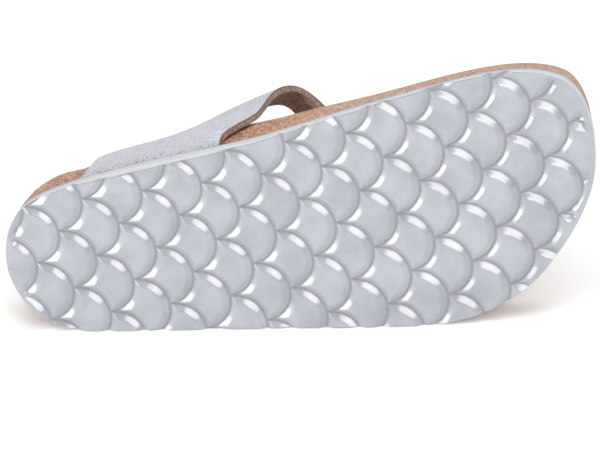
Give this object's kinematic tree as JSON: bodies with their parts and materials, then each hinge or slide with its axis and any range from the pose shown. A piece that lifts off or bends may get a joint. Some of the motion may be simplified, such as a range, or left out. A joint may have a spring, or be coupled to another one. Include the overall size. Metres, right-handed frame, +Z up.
{
  "type": "toe post sandal",
  "caption": "Left toe post sandal with a contoured cork footbed, lugged rubber outsole, suede lining and a leather T-strap that ends in a post between the toes; it lies on its outer side.",
  "frame": {"origin": "on the floor, in the middle of the bounding box of the sandal as it lies on its outer side", "axes": "+X from heel to toe, +Y from the tread to the top of the straps, +Z up from the floor, towards the inner side of the foot"},
  "size_m": [0.2526, 0.0888, 0.111],
  "materials": {
    "outsole_rubber": "glossy pearl grey",
    "cork": "granular cork, sealed satin",
    "suede": "napped",
    "strap_leather": "pearl coated, fine grain",
    "post_leather": "pearl coated, fine grain"
  },
  "bodies": {
    "root": {"outsole": "outsole_rubber", "cork_footbed": "cork", "insole_lining": "suede", "upper_straps": "strap_leather", "toe_post": "post_leather"}
  },
  "joints": []
}
